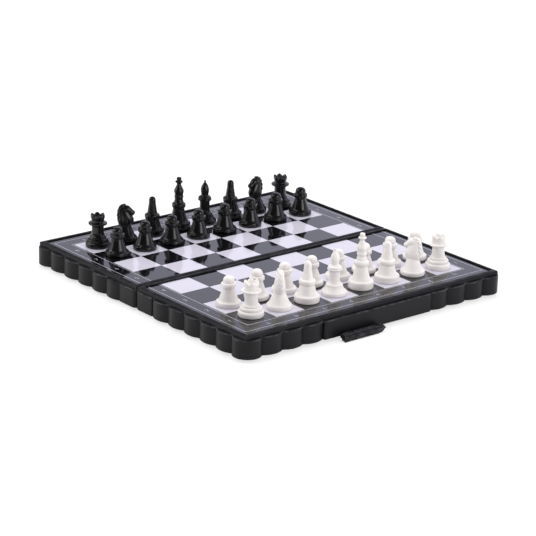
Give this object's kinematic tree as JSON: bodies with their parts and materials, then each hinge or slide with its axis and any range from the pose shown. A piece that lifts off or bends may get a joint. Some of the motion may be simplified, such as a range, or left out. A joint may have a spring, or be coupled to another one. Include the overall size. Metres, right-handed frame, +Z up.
{
  "type": "folding travel chess set",
  "caption": "Folding travel chess set: two fluted trays hinged into a flat board, printed steel playing sheets, a front latch and magnetic men that lift off.",
  "frame": {"origin": "middle of the hinge line, on the table under the open board", "axes": "+X along the hinge to the player's right, +Y from the latch side to the far side, +Z up from the table"},
  "size_m": [0.1288, 0.1386, 0.0312],
  "materials": {
    "case_plastic": "satin",
    "printed_steel": "gloss",
    "pin_steel": "satin",
    "white_men": "satin",
    "black_men": "gloss"
  },
  "bodies": {
    "front_half": {"front_shell": "case_plastic", "front_sheet": "printed_steel", "hinge_pin_left": "pin_steel", "hinge_pin_centre": "pin_steel", "hinge_pin_right": "pin_steel", "latch_pin": "pin_steel"},
    "rear_half": {"rear_shell": "case_plastic", "rear_sheet": "printed_steel"},
    "latch": {"latch": "case_plastic"},
    "white_rook_a1": {"white_rook_a1": "white_men"},
    "white_knight_b1": {"white_knight_b1": "white_men"},
    "white_bishop_c1": {"white_bishop_c1": "white_men"},
    "white_queen_d1": {"white_queen_d1": "white_men"},
    "white_king_e1": {"white_king_e1": "white_men"},
    "white_bishop_f1": {"white_bishop_f1": "white_men"},
    "white_knight_g1": {"white_knight_g1": "white_men"},
    "white_rook_h1": {"white_rook_h1": "white_men"},
    "white_pawn_a2": {"white_pawn_a2": "white_men"},
    "white_pawn_b2": {"white_pawn_b2": "white_men"},
    "white_pawn_c2": {"white_pawn_c2": "white_men"},
    "white_pawn_d2": {"white_pawn_d2": "white_men"},
    "white_pawn_e2": {"white_pawn_e2": "white_men"},
    "white_pawn_f2": {"white_pawn_f2": "white_men"},
    "white_pawn_g2": {"white_pawn_g2": "white_men"},
    "white_pawn_h2": {"white_pawn_h2": "white_men"},
    "black_pawn_a7": {"black_pawn_a7": "black_men"},
    "black_pawn_b7": {"black_pawn_b7": "black_men"},
    "black_pawn_c7": {"black_pawn_c7": "black_men"},
    "black_pawn_d7": {"black_pawn_d7": "black_men"},
    "black_pawn_e7": {"black_pawn_e7": "black_men"},
    "black_pawn_f7": {"black_pawn_f7": "black_men"},
    "black_pawn_g7": {"black_pawn_g7": "black_men"},
    "black_pawn_h7": {"black_pawn_h7": "black_men"},
    "black_rook_a8": {"black_rook_a8": "black_men"},
    "black_knight_b8": {"black_knight_b8": "black_men"},
    "black_bishop_c8": {"black_bishop_c8": "black_men"},
    "black_king_d8": {"black_king_d8": "black_men"},
    "black_queen_e8": {"black_queen_e8": "black_men"},
    "black_bishop_f8": {"black_bishop_f8": "black_men"},
    "black_knight_g8": {"black_knight_g8": "black_men"},
    "black_rook_h8": {"black_rook_h8": "black_men"}
  },
  "joints": [
    {"name": "fold", "type": "hinge", "parent": "front_half", "child": "rear_half", "pos_m": [0, 0, 0.001], "axis": [1, 0, 0], "range_deg": [-180, 0]},
    {"name": "latch", "type": "hinge", "parent": "front_half", "child": "latch", "pos_m": [-0.01, -0.06835, 0.0017], "axis": [-1, 0, 0], "range_deg": [-90, 0]},
    {"name": "lift_white_rook_a1", "type": "slide", "parent": "front_half", "child": "white_rook_a1", "axis": [0, 0, 1], "range_m": [0, 0.03]},
    {"name": "lift_white_knight_b1", "type": "slide", "parent": "front_half", "child": "white_knight_b1", "axis": [0, 0, 1], "range_m": [0, 0.03]},
    {"name": "lift_white_bishop_c1", "type": "slide", "parent": "front_half", "child": "white_bishop_c1", "axis": [0, 0, 1], "range_m": [0, 0.03]},
    {"name": "lift_white_queen_d1", "type": "slide", "parent": "front_half", "child": "white_queen_d1", "axis": [0, 0, 1], "range_m": [0, 0.03]},
    {"name": "lift_white_king_e1", "type": "slide", "parent": "front_half", "child": "white_king_e1", "axis": [0, 0, 1], "range_m": [0, 0.03]},
    {"name": "lift_white_bishop_f1", "type": "slide", "parent": "front_half", "child": "white_bishop_f1", "axis": [0, 0, 1], "range_m": [0, 0.03]},
    {"name": "lift_white_knight_g1", "type": "slide", "parent": "front_half", "child": "white_knight_g1", "axis": [0, 0, 1], "range_m": [0, 0.03]},
    {"name": "lift_white_rook_h1", "type": "slide", "parent": "front_half", "child": "white_rook_h1", "axis": [0, 0, 1], "range_m": [0, 0.03]},
    {"name": "lift_white_pawn_a2", "type": "slide", "parent": "front_half", "child": "white_pawn_a2", "axis": [0, 0, 1], "range_m": [0, 0.03]},
    {"name": "lift_white_pawn_b2", "type": "slide", "parent": "front_half", "child": "white_pawn_b2", "axis": [0, 0, 1], "range_m": [0, 0.03]},
    {"name": "lift_white_pawn_c2", "type": "slide", "parent": "front_half", "child": "white_pawn_c2", "axis": [0, 0, 1], "range_m": [0, 0.03]},
    {"name": "lift_white_pawn_d2", "type": "slide", "parent": "front_half", "child": "white_pawn_d2", "axis": [0, 0, 1], "range_m": [0, 0.03]},
    {"name": "lift_white_pawn_e2", "type": "slide", "parent": "front_half", "child": "white_pawn_e2", "axis": [0, 0, 1], "range_m": [0, 0.03]},
    {"name": "lift_white_pawn_f2", "type": "slide", "parent": "front_half", "child": "white_pawn_f2", "axis": [0, 0, 1], "range_m": [0, 0.03]},
    {"name": "lift_white_pawn_g2", "type": "slide", "parent": "front_half", "child": "white_pawn_g2", "axis": [0, 0, 1], "range_m": [0, 0.03]},
    {"name": "lift_white_pawn_h2", "type": "slide", "parent": "front_half", "child": "white_pawn_h2", "axis": [0, 0, 1], "range_m": [0, 0.03]},
    {"name": "lift_black_pawn_a7", "type": "slide", "parent": "rear_half", "child": "black_pawn_a7", "axis": [0, 0, 1], "range_m": [0, 0.03]},
    {"name": "lift_black_pawn_b7", "type": "slide", "parent": "rear_half", "child": "black_pawn_b7", "axis": [0, 0, 1], "range_m": [0, 0.03]},
    {"name": "lift_black_pawn_c7", "type": "slide", "parent": "rear_half", "child": "black_pawn_c7", "axis": [0, 0, 1], "range_m": [0, 0.03]},
    {"name": "lift_black_pawn_d7", "type": "slide", "parent": "rear_half", "child": "black_pawn_d7", "axis": [0, 0, 1], "range_m": [0, 0.03]},
    {"name": "lift_black_pawn_e7", "type": "slide", "parent": "rear_half", "child": "black_pawn_e7", "axis": [0, 0, 1], "range_m": [0, 0.03]},
    {"name": "lift_black_pawn_f7", "type": "slide", "parent": "rear_half", "child": "black_pawn_f7", "axis": [0, 0, 1], "range_m": [0, 0.03]},
    {"name": "lift_black_pawn_g7", "type": "slide", "parent": "rear_half", "child": "black_pawn_g7", "axis": [0, 0, 1], "range_m": [0, 0.03]},
    {"name": "lift_black_pawn_h7", "type": "slide", "parent": "rear_half", "child": "black_pawn_h7", "axis": [0, 0, 1], "range_m": [0, 0.03]},
    {"name": "lift_black_rook_a8", "type": "slide", "parent": "rear_half", "child": "black_rook_a8", "axis": [0, 0, 1], "range_m": [0, 0.03]},
    {"name": "lift_black_knight_b8", "type": "slide", "parent": "rear_half", "child": "black_knight_b8", "axis": [0, 0, 1], "range_m": [0, 0.03]},
    {"name": "lift_black_bishop_c8", "type": "slide", "parent": "rear_half", "child": "black_bishop_c8", "axis": [0, 0, 1], "range_m": [0, 0.03]},
    {"name": "lift_black_king_d8", "type": "slide", "parent": "rear_half", "child": "black_king_d8", "axis": [0, 0, 1], "range_m": [0, 0.03]},
    {"name": "lift_black_queen_e8", "type": "slide", "parent": "rear_half", "child": "black_queen_e8", "axis": [0, 0, 1], "range_m": [0, 0.03]},
    {"name": "lift_black_bishop_f8", "type": "slide", "parent": "rear_half", "child": "black_bishop_f8", "axis": [0, 0, 1], "range_m": [0, 0.03]},
    {"name": "lift_black_knight_g8", "type": "slide", "parent": "rear_half", "child": "black_knight_g8", "axis": [0, 0, 1], "range_m": [0, 0.03]},
    {"name": "lift_black_rook_h8", "type": "slide", "parent": "rear_half", "child": "black_rook_h8", "axis": [0, 0, 1], "range_m": [0, 0.03]}
  ]
}
